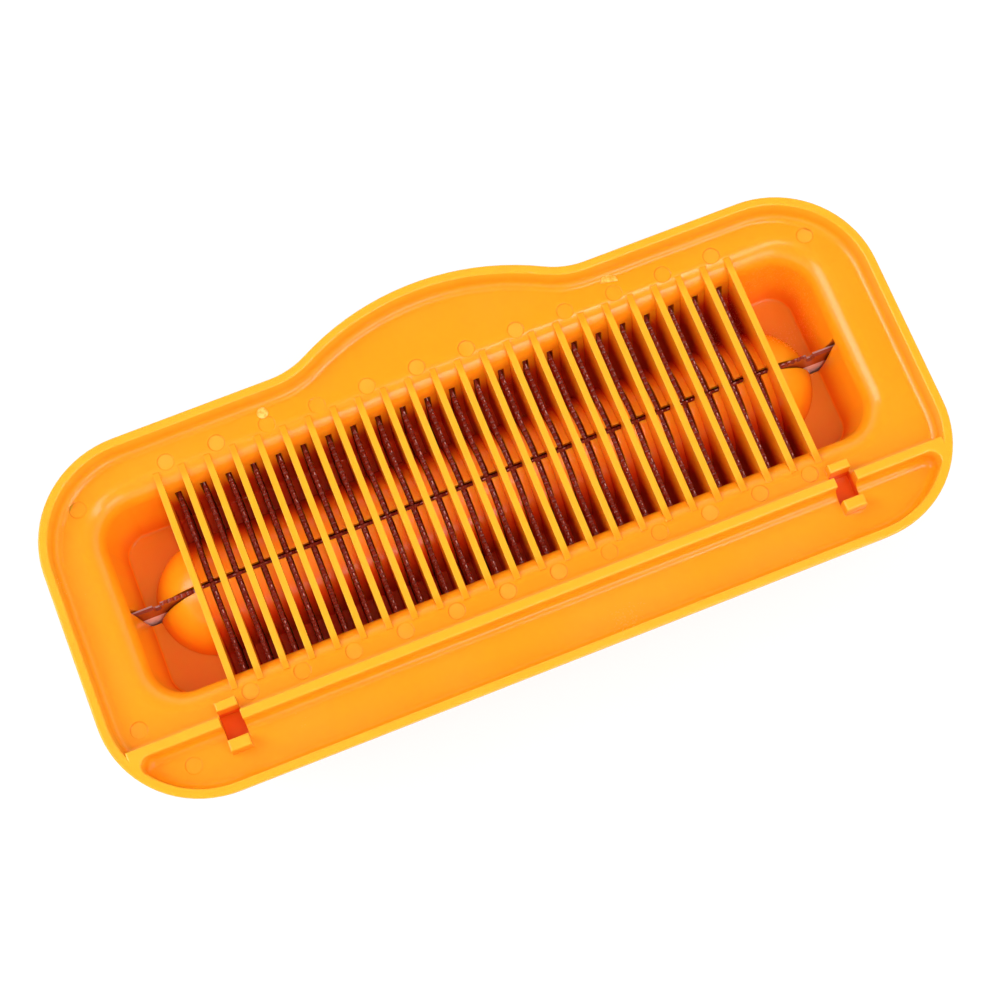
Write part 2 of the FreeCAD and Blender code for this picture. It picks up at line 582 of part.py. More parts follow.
def mark_ejector_pins(body):
    """Shallow round marks: two rows on the flange, one to every second slot, and four near the corners."""
    marks = new_sketch(body, "mark_plan", "XY_Plane")
    draw_circle(marks, FIRST_BLADE, "<mark_reach>", "<mark_radius>")
    draw_circle(marks, FIRST_BLADE, "-<mark_reach>", "<mark_radius>")
    first = pocket(body, "first_marks", marks, "<mark_depth>")
    repeat(body, "ejector_marks", first, "X_Axis", "2 * <slice_pitch>", "floor((<blade_count> + 1) / 2)")
    corners = new_sketch(body, "corner_mark_plan", "XY_Plane")
    corner_x = "(<tray_half_length> - <corner_mark_inset>)"
    corner_y = "<tray_front> - <corner_mark_inset>"
    draw_circle(corners, corner_x, corner_y, "<mark_radius>")
    draw_circle(corners, "-" + corner_x, corner_y, "<mark_radius>")
    draw_circle(corners, "<end_mark_inset> - <tray_half_length>", "<end_mark_gap> - <wall_front>", "<mark_radius>")
    draw_circle(corners, "<ledge_mark_inset> - <tray_half_length>", "<ledge_mark_back> - <tray_back>", "<mark_radius>")
    pocket(body, "corner_marks", corners, "<mark_depth>")


def build_lid_shell():
    """The deep lid that carries the blades, with a lip, a low back edge and the hinge cheeks."""
    body = new_body("lid_shell")
    lip_level = "-(<flange_thickness> + <lid_gap>)"
    height = "(<lid_depth> - <flange_thickness> - <lid_gap>)"
    outline = new_sketch(body, "lid_outline", "XY_Plane", lip_level)
    draw_rounded(outline, "<lid_half_length>", "<lid_half_width>", "<lid_half_width>", "<lid_corner>")
    pad(body, "lid_block", outline, height, reverse=True, taper="-<lid_draft>")
    face_level = -number_of("<lid_depth>")
    round_edges(body, "lid_edge", "<lid_edge_radius>", lambda box: lies_at(box, face_level))

    lip = new_sketch(body, "lip_outline", "XY_Plane", lip_level)
    draw_tabbed(lip, "<lip_inset>")
    pad(body, "lip", lip, "<lip_thickness>", reverse=True)
    lip_height = number_of(lip_level)
    lip_foot = lip_height - number_of("<lip_thickness>")
    round_edges(body, "lip_edge", "<lip_radius>",
                lambda box: lies_at(box, lip_foot) and not inside(box, number_of("<lid_half_length>"),
                                                                 number_of("<lid_half_width>")))

    inner = new_sketch(body, "lid_inside", "XY_Plane", lip_level)
    inner_width = "<lid_half_width> - <lid_wall>"
    draw_rounded(inner, "<lid_half_length> - <lid_wall>", inner_width, inner_width, "<lid_corner> - <lid_wall>")
    pocket(body, "lid_hollow", inner, "%s - <lid_floor>" % height, taper="-<lid_draft>")

    relief = new_sketch(body, "back_relief_plan", "XY_Plane")
    draw_polygon(relief, rectangle("-<tray_half_length>", "<tray_half_length>", "-<tray_back>", "-<relief_back>"))
    pocket(body, "back_relief", relief, "<relief_depth>")
    add_lid_cheeks(body)
    return body


def add_lid_cheeks(body):
    """A pair of cheeks behind the lid's back wall for each hinge pin."""
    axis_y = "-<hinge_back>"
    axis_z = "-<hinge_depth>"
    wall_inside = "-(<lid_half_width> - <lid_wall> / 2 - <hinge_depth> * tan(<lid_draft>))"
    spacing = "(<knuckle_width> / 2 + <side_clearance> + <cheek_thickness> / 2)"
    pin_hole = "<pin_diameter> / 2 + <lap_clearance> / 2"
    for side, x in HINGE_SIDES:
        for part, shift in (("outer", "+"), ("inner", "-")):
            middle = "%s %s %s" % (x, shift, spacing)
            name = "%s_%s" % (side, part)
            arm = new_sketch(body, "cheek_arm_" + name, "YZ_Plane", middle)
            draw_polygon(arm, rectangle(axis_y, wall_inside, "%s - <knuckle_radius>" % axis_z,
                                        "%s + <knuckle_radius>" % axis_z))
            pad(body, "cheek_" + name, arm, "<cheek_thickness>", both=True)
            end = new_sketch(body, "cheek_end_" + name, "YZ_Plane", middle)
            draw_circle(end, axis_y, axis_z, "<knuckle_radius>")
            pad(body, "cheek_round_" + name, end, "<cheek_thickness>", both=True)
            hole = new_sketch(body, "cheek_bore_" + name, "YZ_Plane", middle)
            draw_circle(hole, axis_y, axis_z, pin_hole)
            pocket(body, "cheek_hole_" + name, hole, "2 * <cheek_thickness>", both=True)


def build_blade_carrier():
    """A railed plate in the lid with a groove for every blade."""
    body = new_body("blade_carrier")
    outline = new_sketch(body, "carrier_outline", "XY_Plane", "-(<lid_depth> - <lid_floor>)")
    draw_rounded(outline, CARRIER_HALF_LENGTH, CARRIER_HALF_WIDTH, CARRIER_HALF_WIDTH, CARRIER_CORNER)
    pad(body, "carrier_block", outline, "<lid_depth> - <lid_floor> - <rail_top_depth>")
    hollow = new_sketch(body, "carrier_inside", "XY_Plane", "-<rail_top_depth>")
    inner_width = "%s - <carrier_rail>" % CARRIER_HALF_WIDTH
    draw_rounded(hollow, "%s - <carrier_rail>" % CARRIER_HALF_LENGTH, inner_width, inner_width,
                 "%s - <carrier_rail>" % CARRIER_CORNER)
    pocket(body, "carrier_hollow", hollow, "%s - <rail_top_depth>" % CARRIER_TOP)

    depth = "%s - <rail_top_depth>" % ROOT_DEPTH
    long_end = "(%s + <lap_clearance>)" % LONG_HALF_SPAN
    long_groove = new_sketch(body, "long_groove_plan", "XY_Plane", "-<rail_top_depth>")
    draw_polygon(long_groove, rectangle("-" + long_end, long_end, "-" + LAP_HALF, LAP_HALF))
    pocket(body, "long_groove", long_groove, depth)
    cross_end = "(%s + <lap_clearance>)" % CROSS_HALF_SPAN
    groove = new_sketch(body, "cross_groove_plan", "XY_Plane", "-<rail_top_depth>")
    draw_polygon(groove, rectangle("%s - %s" % (FIRST_BLADE, LAP_HALF), "%s + %s" % (FIRST_BLADE, LAP_HALF),
                                   "-" + cross_end, cross_end))
    first = pocket(body, "cross_groove", groove, depth)
    repeat(body, "cross_grooves", first, "X_Axis", "<slice_pitch>", "<blade_count>")
    return body


def sharpen(body, section_role, length, scallop_role, pattern_role, half_span):
    """Bevel a blade's upper edge on both sides and cut its row of scallops."""
    edge = "-<blade_edge_depth>"
    bevels = new_sketch(body, "bevel_section", section_role)
    for sign in ("", "-"):
        side = sign + "<blade_thickness> / 2"
        draw_polygon(bevels, [(side, "%s - <edge_bevel>" % edge), (side, edge), (sign + "<edge_thickness> / 2", edge)])
    pocket(body, "edge_bevels", bevels, length, both=True)

    count = "floor((2 * %s - 2 * <plain_end>) / <tooth_pitch>) + 1" % half_span
    start = "-<tooth_pitch> * (%s - 1) / 2" % count
    scallop = new_sketch(body, "scallop_outline", scallop_role)
    draw_circle(scallop, start, edge, "<scallop_radius>")
    first = pocket(body, "scallop", scallop, "2 * <blade_thickness>", both=True)
    repeat(body, "scallops", first, pattern_role, "<tooth_pitch>", count)


def build_first_cross_blade():
    """A scalloped plate across the lid, slit from its edge to lap with the long blade."""
    body = new_body("cross_blade_01")
    bind(body, "Placement.Base.x", FIRST_BLADE)
    plate = new_sketch(body, "cross_plate", "YZ_Plane")
    draw_polygon(plate, rectangle("-" + CROSS_HALF_SPAN, CROSS_HALF_SPAN, "-" + ROOT_DEPTH, "-<blade_edge_depth>"))
    pad(body, "cross_blade_plate", plate, "<blade_thickness>", both=True)
    sharpen(body, "XZ_Plane", "4 * %s" % CROSS_HALF_SPAN, "YZ_Plane", "Y_Axis", CROSS_HALF_SPAN)
    slit = new_sketch(body, "cross_slit", "YZ_Plane")
    draw_polygon(slit, rectangle("-" + LAP_HALF, LAP_HALF, "-" + LAP_DEPTH, "0"))
    pocket(body, "cross_lap", slit, "2 * <blade_thickness>", both=True)
    return body


def copy_cross_blade(first, index):
    """A further cross blade, one pitch on from the one before."""
    blade = doc.addObject("Part::Feature", "cross_blade_%02d" % index)
    blade.Label = "cross_blade_%02d" % index
    blade.Shape = first.Tip.Shape.copy()
    bind(blade, "Placement.Base.x", "%s + %d * <slice_pitch>" % (FIRST_BLADE, index - 1))
    bind(blade, "Placement.Base.z", "<lid_depth>")
    return blade


def build_long_blade():
    """The lengthwise blade, slit from its root where it laps with each cross blade."""
    body = new_body("long_blade")
    plate = new_sketch(body, "long_plate", "XZ_Plane")
    draw_polygon(plate, rectangle("-" + LONG_HALF_SPAN, LONG_HALF_SPAN, "-" + ROOT_DEPTH, "-<blade_edge_depth>"))
    pad(body, "long_blade_plate", plate, "<blade_thickness>", both=True)
    sharpen(body, "YZ_Plane", "4 * %s" % LONG_HALF_SPAN, "XZ_Plane", "X_Axis", LONG_HALF_SPAN)
    end = "(%s + 1)" % LONG_HALF_SPAN
    outer = "(%s - <end_length>)" % LONG_HALF_SPAN
    inner = "(%s - <end_notch>)" % outer
    edge = "-(<blade_edge_depth> + <end_drop>)"
    shoulder = "(%s - <end_notch> / 2)" % edge
    bottom = "(%s - <end_notch>)" % edge
    outline = [(end, "0"), (inner, "0"), (inner, shoulder), ("(%s + <end_notch> / 4)" % inner, bottom),
               ("(%s - <end_notch> / 4)" % outer, bottom), (outer, shoulder), (outer, edge), (end, edge)]
    plain = new_sketch(body, "plain_ends", "XZ_Plane")
    draw_polygon(plain, outline)
    draw_polygon(plain, [("-" + x, z) for x, z in reversed(outline)])
    pocket(body, "long_blade_ends", plain, "2 * <blade_thickness>", both=True)
    slit = new_sketch(body, "long_slit", "XZ_Plane")
    draw_polygon(slit, rectangle("%s - %s" % (FIRST_BLADE, LAP_HALF), "%s + %s" % (FIRST_BLADE, LAP_HALF),
                                 "-<lid_depth>", "-%s + <lap_clearance>" % LAP_DEPTH))
    first = pocket(body, "long_lap", slit, "2 * <blade_thickness>", both=True)
    repeat(body, "long_laps", first, "X_Axis", "<slice_pitch>", "<blade_count>")
    return body


def build_hinge_pin(side, x):
    """A plain steel pin through two cheeks and the knuckle between them."""
    pin = doc.addObject("Part::Cylinder", "hinge_pin_" + side)
    pin.Label = "hinge_pin_" + side
    length = "(<knuckle_width> + 2 * <side_clearance> + 2 * <cheek_thickness>)"
    bind(pin, "Radius", "<pin_diameter> / 2")
    bind(pin, "Height", length)
    pin.Placement = Placement(Vector(0, 0, 0), Rotation(Vector(0, 1, 0), 90))
    bind(pin, "Placement.Base.x", "%s - %s / 2" % (x, length))
    bind(pin, "Placement.Base.y", "-<hinge_back>")
    bind(pin, "Placement.Base.z", "<lid_depth> - <hinge_depth>")
    return pin


def write_parts(parts):
    """Check every object and write one file for each sub-part."""
    doc.recompute()
    for item in doc.Objects:
        if "Invalid" in item.State or "Error" in item.State:
            raise RuntimeError("%s failed: %s" % (item.Name, item.State))
    for part in parts:
        shape = part.Shape
        if shape.isNull() or not shape.isValid() or len(shape.Solids) != 1:
            raise RuntimeError("%s is not one valid solid" % part.Label)
    os.makedirs("parts", exist_ok=True)
    for part in parts:
        part.Shape.exportStep("parts/%s.step" % part.Label)
        box = part.Shape.BoundBox
        print("%s: %.1f x %.1f x %.1f mm, %.0f mm3" % (part.Label, box.XLength, box.YLength, box.ZLength,
                                                     part.Shape.Volume))


first_blade = build_first_cross_blade()
blades = [first_blade]
for blade_index in range(2, int(number_of("<blade_count>")) + 1):
    blades.append(copy_cross_blade(first_blade, blade_index))
pins = [build_hinge_pin(side, x) for side, x in HINGE_SIDES]
write_parts([build_base_tray(), build_lid_shell(), build_blade_carrier(), build_long_blade()] + blades + pins)
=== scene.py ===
import math

import bmesh
import bpy
from bpy.props import FloatProperty, FloatVectorProperty, PointerProperty
from mathutils import Matrix, Vector


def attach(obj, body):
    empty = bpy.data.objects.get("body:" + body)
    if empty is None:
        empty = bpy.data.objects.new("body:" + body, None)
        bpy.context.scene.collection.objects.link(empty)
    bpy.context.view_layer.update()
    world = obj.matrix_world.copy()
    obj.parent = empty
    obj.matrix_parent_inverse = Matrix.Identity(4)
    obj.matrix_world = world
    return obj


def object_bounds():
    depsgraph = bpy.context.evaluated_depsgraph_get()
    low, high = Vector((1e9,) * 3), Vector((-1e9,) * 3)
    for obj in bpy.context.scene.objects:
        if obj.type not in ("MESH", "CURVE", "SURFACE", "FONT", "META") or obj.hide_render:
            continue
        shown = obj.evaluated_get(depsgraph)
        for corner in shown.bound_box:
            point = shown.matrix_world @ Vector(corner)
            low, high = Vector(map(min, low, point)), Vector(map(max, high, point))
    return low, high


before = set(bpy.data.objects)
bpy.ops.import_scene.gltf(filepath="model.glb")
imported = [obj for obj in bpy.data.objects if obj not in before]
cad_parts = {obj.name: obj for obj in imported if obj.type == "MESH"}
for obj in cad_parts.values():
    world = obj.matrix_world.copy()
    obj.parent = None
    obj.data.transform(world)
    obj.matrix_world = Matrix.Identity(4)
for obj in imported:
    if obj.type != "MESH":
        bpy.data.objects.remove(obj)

bl_info = {
    "name": "Sausage Slicer",
    "version": (1, 0, 0),
    "blender": (4, 5, 0),
    "location": "View3D > Sidebar > Slicer",
    "description": "Dresses a hinged sausage slicer and lays it on a studio floor",
    "category": "Object",
}

CAD_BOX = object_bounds()
MM = 0.001
FLANGE_LEVEL = 38.0 * MM

# Distances from the middle of the tray to its hinges, outermost blades and ejector pin marks
HINGE_HALF_SPACING = 71.75 * MM
HINGE_BACK = 33.7 * MM
OUTER_BLADE = 66.0 * MM
BLADE_PITCH = 6.0 * MM
MARK_PITCH = 2.0 * BLADE_PITCH
MARK_ROW = 27.9 * MM
CORNER_MARKS = ((87.8 * MM, 24.6 * MM), (-87.8 * MM, 24.6 * MM),
                (-91.3 * MM, -27.1 * MM), (-82.8 * MM, -38.7 * MM))

# Arcs of the two gate marks in degrees: one is round, the other broken along a line
ROUND_ARC = (0.0, 360.0)
BROKEN_ARC = (-12.0, 168.0)
GATE_STEPS = 40
GATE_SUNK = 0.1 * MM

# Where the tray's colours change, as heights above the flange or distances from the middle, including
# its painted shade, sheen and light
DEEP_HEIGHTS = (-11.0 * MM, -20.5 * MM)
FLOOR_HEIGHTS = (-19.6 * MM, -19.3 * MM)
CELL_HEIGHTS = (-5.5 * MM, -12.5 * MM)
CELL_HALF_LENGTH = 69.2 * MM
CELL_HALF_WIDTH = 24.0 * MM
CROSS_SLOT_EDGE = (0.71 * MM, 0.78 * MM)
LONG_SLOT_EDGE = (1.35 * MM, 1.6 * MM)
HOLLOW_HALF_WIDTH = 2.45 * MM
HOLLOW_HALF_LENGTH = 3.35 * MM
HOLLOW_HEIGHTS = (-3.4 * MM, -1.2 * MM)
RIM_HEIGHTS = (1.5 * MM, 4.5 * MM)
RIB_HEIGHTS = (-1.5 * MM, -0.2 * MM)
RIB_HALF_LENGTH = 69.9 * MM
RIB_HALF_WIDTH = 22.0 * MM
MARK_HEIGHTS = (-0.35 * MM, 0.05 * MM)

# Where the blades' colours change, in the same way, including their painted glints and the painted
# light on the long blade's ends
EDGE_HEIGHTS = (-8.6 * MM, -8.4 * MM)
GLINT_SPAN = (0.06 * MM, 0.20 * MM)
NEAR_END = (-23.0 * MM, -20.2 * MM)
PLAIN_END = (69.5 * MM, 78.0 * MM)
FLAT_END = (77.0 * MM, 78.5 * MM)
FLAT_GLINT = (0.22 * MM, 0.60 * MM)
FOOT_HEIGHTS = (-15.1 * MM, -15.4 * MM)

# The camera of the picture
IMAGE_PIXELS = 981
FOCAL_PIXELS = 2255.12
SENSOR_WIDTH = 36.0
CAMERA_PLACE = (-45.16 * MM, -135.67 * MM, 480.46 * MM + FLANGE_LEVEL)
CAMERA_RIGHT = (0.930, -0.367, -0.015)
CAMERA_FORWARD = (0.088, 0.261, -0.961)

# The studio: its floor, and its lamps with where they hang and how wide and long they are
FLOOR_HALF = 3.0
FLOOR_DROP = 0.05 * MM
FLOOR_GREY = 0.85
SEEN_FLOOR_GREY = 0.22
SEEN_FLOOR_GLOW = 0.80
KEY_PLACE, KEY_SIZE = (-0.90, 0.38, 0.95), (0.75, 0.70)
STRIP_PLACE, STRIP_SIZE = (0.36, -0.33, 1.10), (0.14, 0.70)
FILL_PLACE, FILL_SIZE = (0.0, -0.45, 1.10), (0.15, 1.20)
FRONT_PLACE, FRONT_SIZE = (0.30, -1.15, 0.85), (0.70, 0.35)
DIFFUSE_BOUNCES = 8


class SlicerColours(bpy.types.PropertyGroup):
    """Colours of the slicer's plastics and pins, as linear values."""

    tray: FloatVectorProperty(
        name="Tray orange", description="Tray plastic where light falls on it freely",
        subtype="COLOR", size=3, min=0.0, max=1.0, default=(0.98, 0.345, 0.008))
    # Painted shade: a redder orange low in the trough, where little light reaches
    tray_deep_shade: FloatVectorProperty(
        name="Deep orange", description="Tray plastic low in the trough, where it looks denser",
        subtype="COLOR", size=3, min=0.0, max=1.0, default=(0.89, 0.19, 0.005))
    # Painted shade: red low in the cells between the ribs
    tray_cell_shade: FloatVectorProperty(
        name="Cell red", description="Tray plastic low between the ribs",
        subtype="COLOR", size=3, min=0.0, max=1.0, default=(0.94, 0.055, 0.004))
    # Painted sheen: a duller, less saturated orange on the trough's floor
    tray_floor_sheen: FloatVectorProperty(
        name="Floor orange", description="Duller plastic of the trough's floor",
        subtype="COLOR", size=3, min=0.0, max=1.0, default=(0.78, 0.220, 0.010))
    # Painted shade: deep red inside the two hinge hollows
    tray_hollow_shade: FloatVectorProperty(
        name="Hollow orange", description="Tray plastic inside the two hinge hollows",
        subtype="COLOR", size=3, min=0.0, max=1.0, default=(0.86, 0.125, 0.003))
    # Painted light: a paler orange on the tops of rims and ribs, where light falls
    tray_rim_light: FloatVectorProperty(
        name="Rim orange", description="Tray plastic along thin rims and ribs",
        subtype="COLOR", size=3, min=0.0, max=1.0, default=(0.98, 0.43, 0.02))
    mark: FloatVectorProperty(
        name="Ejector mark", description="Paler plastic inside the ejector pin marks",
        subtype="COLOR", size=3, min=0.0, max=1.0, default=(0.98, 0.44, 0.045))
    lid: FloatVectorProperty(
        name="Lid orange", description="Lid plastic",
        subtype="COLOR", size=3, min=0.0, max=1.0, default=(0.93, 0.33, 0.012))
    blade: FloatVectorProperty(
        name="Blade brown", description="Plastic of the blades and of their carrier",
        subtype="COLOR", size=3, min=0.0, max=1.0, default=(0.25, 0.030, 0.010))
    # Painted light: a brighter brown on the blades' sideways faces
    blade_side_light: FloatVectorProperty(
        name="Blade side", description="Smoother, a little brighter plastic on the blades' sides",
        subtype="COLOR", size=3, min=0.0, max=1.0, default=(0.36, 0.042, 0.016))
    blade_worn: FloatVectorProperty(
        name="Worn blade", description="Paler streaks on the blades",
        subtype="COLOR", size=3, min=0.0, max=1.0, default=(0.38, 0.078, 0.040))
    # Painted highlights: pale glints along the cutting edges
    blade_edge_glint: FloatVectorProperty(
        name="Blade edge", description="Polished teeth along the cutting edges",
        subtype="COLOR", size=3, min=0.0, max=1.0, default=(0.85, 0.62, 0.56))
    # Painted light: a brighter brown on the sides of the long blade's two ends, which stand in the open
    blade_end_lit: FloatVectorProperty(
        name="Blade end", description="Brighter, plain part at the long blade's two ends",
        subtype="COLOR", size=3, min=0.0, max=1.0, default=(0.36, 0.075, 0.010))
    blade_foot: FloatVectorProperty(
        name="Blade foot", description="Pale lower part of the long blade's two ends",
        subtype="COLOR", size=3, min=0.0, max=1.0, default=(1.0, 0.84, 0.74))
    gate: FloatVectorProperty(
        name="Gate mark", description="Stressed, paler plastic of the gate marks",
        subtype="COLOR", size=3, min=0.0, max=1.0, default=(0.98, 0.62, 0.14))
    steel: FloatVectorProperty(
        name="Pin steel", description="Steel of the hinge pins",
        subtype="COLOR", size=3, min=0.0, max=1.0, default=(0.60, 0.60, 0.61))


class SlicerSizes(bpy.types.PropertyGroup):
    """Sizes of the small moulding marks and of the soft edges."""

    gate_radius: FloatProperty(
        name="Gate mark radius", description="Radius of the larger gate mark, which is broken in half",
        unit="LENGTH", subtype="DISTANCE", default=2.0 * MM)
    gate_small_radius: FloatProperty(
        name="Small gate mark", description="Radius of the smaller, round gate mark",
        unit="LENGTH", subtype="DISTANCE", default=1.3 * MM)
    gate_height: FloatProperty(
        name="Gate mark height", description="How far a gate mark stands above the flange",
        unit="LENGTH", subtype="DISTANCE", default=0.35 * MM)
    gate_reach: FloatProperty(
        name="Gate mark reach", description="Bed axis to the gate marks",
        unit="LENGTH", subtype="DISTANCE", default=30.6 * MM)
    gate_half_spacing: FloatProperty(
        name="Gate mark spacing", description="Middle of the tray to each gate mark",
        unit="LENGTH", subtype="DISTANCE", default=42.0 * MM)
    mark_radius: FloatProperty(
        name="Ejector mark radius", description="Radius of the ejector pin marks on the flange",
        unit="LENGTH", subtype="DISTANCE", default=1.9 * MM)
    soft_edge: FloatProperty(
        name="Soft edge", description="Rounding seen on moulded edges",
        unit="LENGTH", subtype="DISTANCE", default=0.35 * MM)


class SlicerStudio(bpy.types.PropertyGroup):
    """Powers of the studio's lamps and brightness of its sky."""

    key_power: FloatProperty(
        name="Key power", description="Power of the large lamp on the left",
        unit="POWER", default=7.5)
    strip_power: FloatProperty(
        name="Strip power", description="Power of the narrow lamp on the right",
        unit="POWER", default=2.4)
    fill_power: FloatProperty(
        name="Fill power", description="Power of the long lamp overhead, which lies along the cells",
        unit="POWER", default=3.9)
    front_power: FloatProperty(
        name="Front power", description="Power of the low lamp in front",
        unit="POWER", default=3.0)
    sky_strength: FloatProperty(
        name="Sky strength", description="Even light from all round", default=0.66)
    ceiling: FloatProperty(
        name="Ceiling", description="How bright the ceiling looks in reflections", default=0.04)


def link_piece(name, mesh, body, material):
    """Add a mesh as a piece that rides on a body."""
    piece = bpy.data.objects.new(name, mesh)
    bpy.context.scene.collection.objects.link(piece)
    piece.data.materials.append(material)
    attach(piece, body)


def new_group(name, inputs, outputs):
    """A shader node group with named sockets, and its two end nodes."""
    group = bpy.data.node_groups.new(name, "ShaderNodeTree")
    for label, kind, default in inputs:
        socket = group.interface.new_socket(label, in_out="INPUT", socket_type="NodeSocket" + kind)
        socket.default_value = default
    for label, kind in outputs:
        group.interface.new_socket(label, in_out="OUTPUT", socket_type="NodeSocket" + kind)
    return group, group.nodes.new("NodeGroupInput"), group.nodes.new("NodeGroupOutput")


def math_node(tree, operation, first, second=None):
    """A math node fed by sockets or numbers; gives its output socket."""
    node = tree.nodes.new("ShaderNodeMath")
    node.operation = operation
    for index, value in enumerate((first, second)):
        if value is None:
            continue
        if isinstance(value, (int, float)):
            node.inputs[index].default_value = value
        else:
            tree.links.new(value, node.inputs[index])
    return node.outputs[0]


def mix_colour(tree, factor, first, second):
    """Mix two colours, given as sockets or values; gives the result's socket."""
    node = tree.nodes.new("ShaderNodeMix")
    node.data_type = "RGBA"
    for key, value in (("Factor_Float", factor), ("A_Color", first), ("B_Color", second)):
        socket = next(item for item in node.inputs if item.identifier == key)
        if hasattr(value, "is_output"):
            tree.links.new(value, socket)
        else:
            socket.default_value = value
    return next(item for item in node.outputs if item.identifier == "Result_Color")


def noise(tree, vector, scale, detail=3.0, roughness=0.5):
    """A noise texture's value socket."""
    node = tree.nodes.new("ShaderNodeTexNoise")
    node.inputs["Detail"].default_value = detail
    node.inputs["Roughness"].default_value = roughness
    tree.links.new(vector, node.inputs["Vector"])
    if isinstance(scale, (int, float)):
        node.inputs["Scale"].default_value = scale
    else:
        tree.links.new(scale, node.inputs["Scale"])
    return node.outputs["Fac"]


def ramp_value(tree, value, low, high, to_low=0.0, to_high=1.0):
    """Map a value from one range to another, smoothly and within limits."""
    node = tree.nodes.new("ShaderNodeMapRange")
    node.interpolation_type = "SMOOTHSTEP"
    tree.links.new(value, node.inputs["Value"])
    for key, number in (("From Min", low), ("From Max", high), ("To Min", to_low), ("To Max", to_high)):
        if isinstance(number, (int, float)):
            node.inputs[key].default_value = number
        else:
            tree.links.new(number, node.inputs[key])
    return node.outputs["Result"]


def object_point(tree, source="Object"):
    """Sockets of the point on the piece, or of its normal: the vector and its three parts."""
    place = tree.nodes.new("ShaderNodeTexCoord").outputs[source]
    parts = tree.nodes.new("ShaderNodeSeparateXYZ")
    tree.links.new(place, parts.inputs[0])
    return place, parts.outputs


def stretched(tree, vector, scale):
    """The same vector, scaled along each axis."""
    node = tree.nodes.new("ShaderNodeMapping")
    node.inputs["Scale"].default_value = scale
    tree.links.new(vector, node.inputs["Vector"])
    return node.outputs[0]


def build_moulded_group():
    """The node group of moulded plastic: slow mottling, flow streaks and a fine skin grain."""
    group, given, result = new_group(
        "moulded_plastic",
        [("Colour", "Color", (0.8, 0.3, 0.02, 1.0)), ("Mottle", "Float", 0.06),
         ("Roughness", "Float", 0.3), ("Grain Scale", "Float", 2200.0)],
        [("Colour", "Color"), ("Roughness", "Float"), ("Height", "Float")])
    place, _ = object_point(group)
    flow = noise(group, stretched(group, place, (12.0, 45.0, 45.0)), 1.0, detail=4.0, roughness=0.55)
    cloud = noise(group, place, 28.0, detail=2.0)
    blend = math_node(group, "MULTIPLY", math_node(group, "ADD", flow, cloud), 0.5)
    blotch = math_node(group, "SUBTRACT", blend, 0.5)
    amount = math_node(group, "MULTIPLY", blotch, given.outputs["Mottle"])
    value = group.nodes.new("ShaderNodeHueSaturation")
    group.links.new(math_node(group, "ADD", amount, 1.0), value.inputs["Value"])
    group.links.new(given.outputs["Colour"], value.inputs["Color"])
    group.links.new(value.outputs[0], result.inputs["Colour"])
    grain = noise(group, place, given.outputs["Grain Scale"], detail=2.0)
    smear = ramp_value(group, cloud, 0.35, 0.7, -0.04, 0.05)
    rough = math_node(group, "ADD", given.outputs["Roughness"], smear)
    fine = math_node(group, "MULTIPLY", math_node(group, "SUBTRACT", grain, 0.5), 0.05)
    group.links.new(math_node(group, "ADD", rough, fine), result.inputs["Roughness"])
    height = math_node(group, "ADD", math_node(group, "MULTIPLY", grain, 0.4), flow)
    group.links.new(height, result.inputs["Height"])


def new_material(name):
    """A node material with one Principled shader."""
    material = bpy.data.materials.new(name)
    material.use_nodes = True
    tree = material.node_tree
    shader = next(node for node in tree.nodes if node.type == "BSDF_PRINCIPLED")
    return material, tree, shader


def finish_plastic(tree, shader, colour, mottle, roughness, bump, soft_edge, grain_scale=2200.0):
    """Join a colour socket to a shader through the moulded plastic group, with soft edges."""
    moulded = tree.nodes.new("ShaderNodeGroup")
    moulded.node_tree = bpy.data.node_groups["moulded_plastic"]
    moulded.inputs["Mottle"].default_value = mottle
    moulded.inputs["Roughness"].default_value = roughness
    moulded.inputs["Grain Scale"].default_value = grain_scale
    tree.links.new(colour, moulded.inputs["Colour"])
    tree.links.new(moulded.outputs["Colour"], shader.inputs["Base Color"])
    tree.links.new(moulded.outputs["Roughness"], shader.inputs["Roughness"])
    rounded = tree.nodes.new("ShaderNodeBevel")
    rounded.samples = 4
    rounded.inputs["Radius"].default_value = soft_edge
    relief = tree.nodes.new("ShaderNodeBump")
    relief.inputs["Strength"].default_value = bump
    relief.inputs["Distance"].default_value = 0.02 * MM
    tree.links.new(moulded.outputs["Height"], relief.inputs["Height"])
    tree.links.new(rounded.outputs[0], relief.inputs["Normal"])
    tree.links.new(relief.outputs[0], shader.inputs["Normal"])


def opaque(colour):
    """A colour with full alpha."""
    return (*colour, 1.0)


def within(tree, value, low, high, soft):
    """A mask that is one between two limits and fades over a soft length outside them."""
    rise = ramp_value(tree, value, low - soft, low)
    return math_node(tree, "MULTIPLY", rise, ramp_value(tree, value, high + soft, high))


def all_of(tree, *masks):
    """The product of several masks."""
    result = masks[0]
    for mask in masks[1:]:
        result = math_node(tree, "MULTIPLY", result, mask)
    return result


def row_offset(tree, along, pitch):
    """Signed distance along X to the nearest place of an even row through the outermost blade."""
    shifted = math_node(tree, "ADD", along, OUTER_BLADE + pitch / 2.0)
    return math_node(tree, "SUBTRACT", math_node(tree, "FLOORED_MODULO", shifted, pitch), pitch / 2.0)


def length_of(tree, along, across):
    """Length of a flat vector."""
    squares = math_node(tree, "ADD", math_node(tree, "MULTIPLY", along, along),
                        math_node(tree, "MULTIPLY", across, across))
    return math_node(tree, "SQRT", squares)


